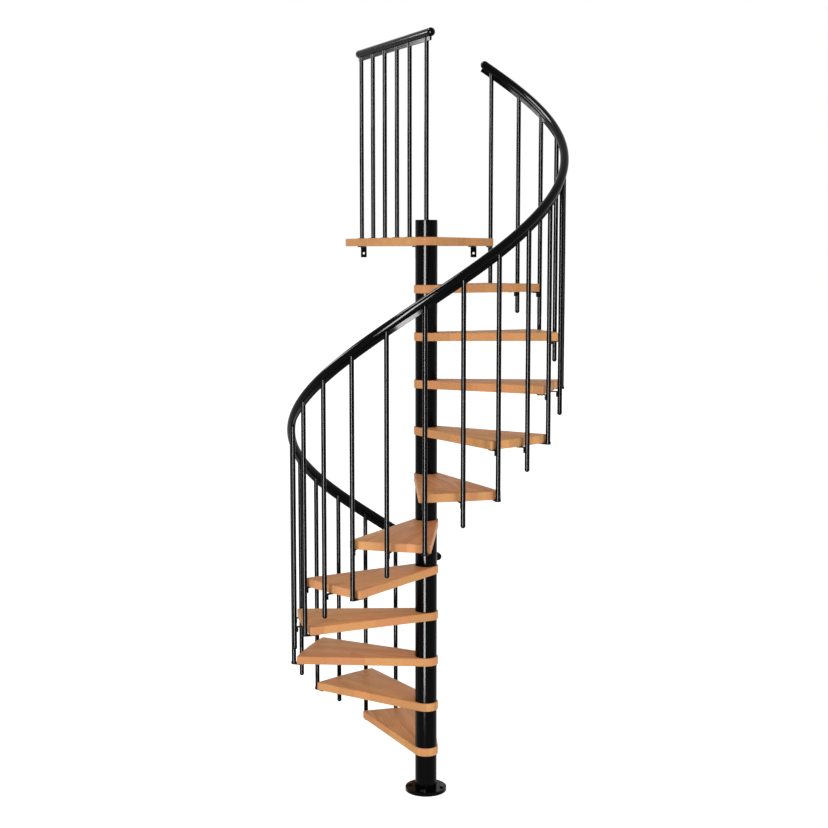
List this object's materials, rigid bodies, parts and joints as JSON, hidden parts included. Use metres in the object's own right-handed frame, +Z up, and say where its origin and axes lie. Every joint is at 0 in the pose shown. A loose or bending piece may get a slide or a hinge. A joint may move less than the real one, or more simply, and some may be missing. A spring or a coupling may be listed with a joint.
{
  "type": "spiral staircase",
  "caption": "Spiral staircase with timber wedge treads stacked on a black steel column, vertical balusters and a helical handrail, ending in a landing with its own rail.",
  "frame": {"origin": "centre of the floor flange's underside, on the column axis", "axes": "+Z up along the column, +Y towards the wall that carries the landing, +X to the right of a person facing that wall; the stair climbs counter-clockwise seen from above"},
  "size_m": [1.4, 1.3896, 3.856],
  "materials": {
    "steelwork": "gloss black powder coat",
    "timber": "oiled oak, glued staves",
    "handrail": "gloss black moulded plastic",
    "clips": "satin black moulded plastic"
  },
  "bodies": {
    "root": {"floor_flange": "steelwork", "centre_pole": "steelwork", "column_lid": "steelwork", "spacer_1": "steelwork", "spacer_2": "steelwork", "spacer_3": "steelwork", "spacer_4": "steelwork", "spacer_5": "steelwork", "spacer_6": "steelwork", "spacer_7": "steelwork", "spacer_8": "steelwork", "spacer_9": "steelwork", "spacer_10": "steelwork", "spacer_11": "steelwork", "spacer_12": "steelwork", "spacer_top": "steelwork", "tread_1": "timber", "tread_2": "timber", "tread_3": "timber", "tread_4": "timber", "tread_5": "timber", "tread_6": "timber", "tread_7": "timber", "tread_8": "timber", "tread_9": "timber", "tread_10": "timber", "tread_11": "timber", "landing": "timber", "wall_brackets": "steelwork", "joint_balusters": "steelwork", "middle_balusters": "steelwork", "landing_balusters": "steelwork", "end_clips": "clips", "passing_clips": "clips", "middle_clips": "clips", "landing_feet": "steelwork", "handrail": "handrail", "handrail_ends": "handrail", "landing_handrail": "handrail", "landing_rail_ends": "handrail"}
  },
  "joints": []
}
